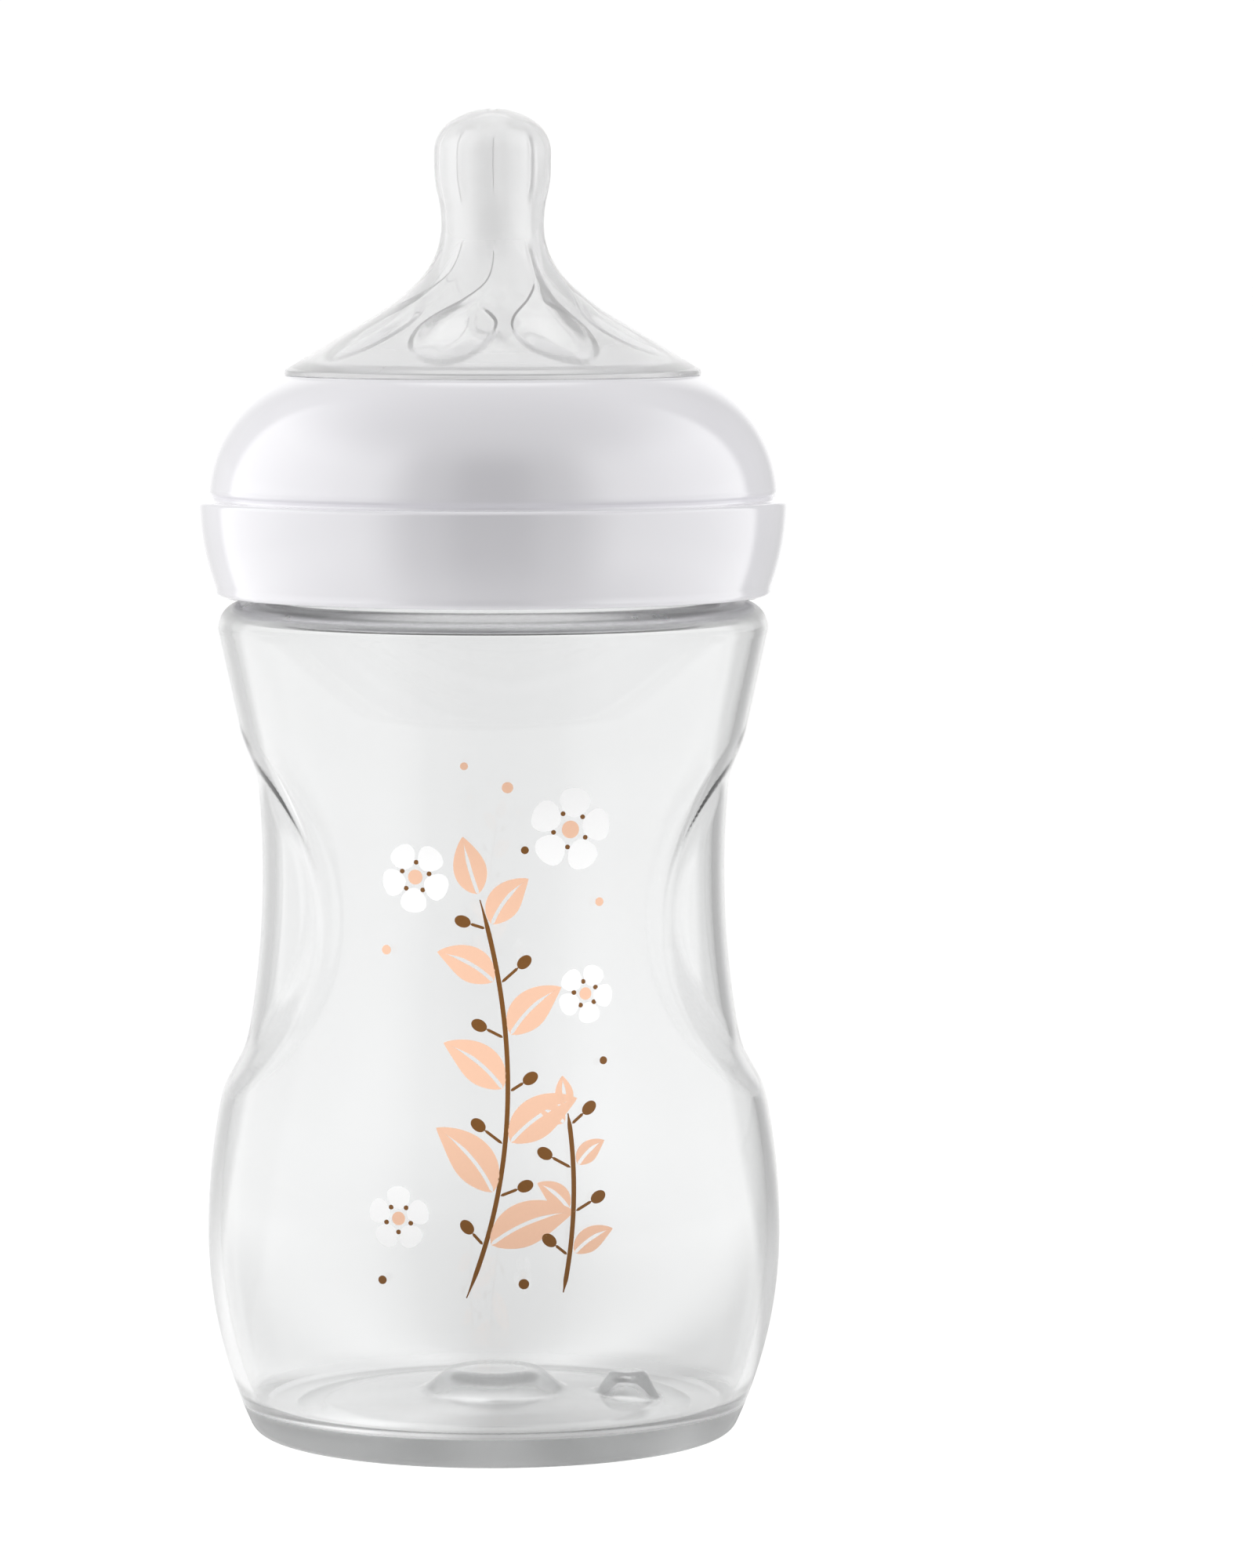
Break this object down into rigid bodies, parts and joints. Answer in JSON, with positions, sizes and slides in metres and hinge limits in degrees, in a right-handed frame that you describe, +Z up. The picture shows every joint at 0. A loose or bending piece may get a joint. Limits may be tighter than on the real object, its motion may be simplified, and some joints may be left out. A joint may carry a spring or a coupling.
{
  "type": "baby bottle",
  "caption": "Clear waisted feeding bottle with thumb grips pressed into its sides, closed by a domed white screw ring that clamps a soft silicone teat.",
  "frame": {"origin": "centre of the base, on the plane that the foot stands on", "axes": "+Z up along the bottle's axis, -Y out of the printed front, +X and -X out of the thumb grips"},
  "size_m": [0.0702, 0.0702, 0.1577],
  "materials": {
    "clear_plastic": "clear colourless polypropylene, polished",
    "white_plastic": "glossy white polypropylene",
    "silicone": "translucent silicone, satin"
  },
  "bodies": {
    "bottle": {"bottle": "clear_plastic"},
    "teat": {"teat": "silicone"},
    "screw_ring": {"screw_ring": "white_plastic"}
  },
  "joints": [
    {"name": "teat_lift", "type": "slide", "parent": "bottle", "child": "teat", "axis": [0, 0, 1], "range_m": [0, 0.008]},
    {"name": "ring_turn", "type": "hinge", "parent": "teat", "child": "screw_ring", "pos_m": [0, 0, 0.11], "axis": [0, 0, 1], "range_deg": [0, 450]}
  ],
  "couplings": [
    {"joint": "teat_lift", "follows": "ring_turn", "m_per_rad": 0.0010185}
  ]
}
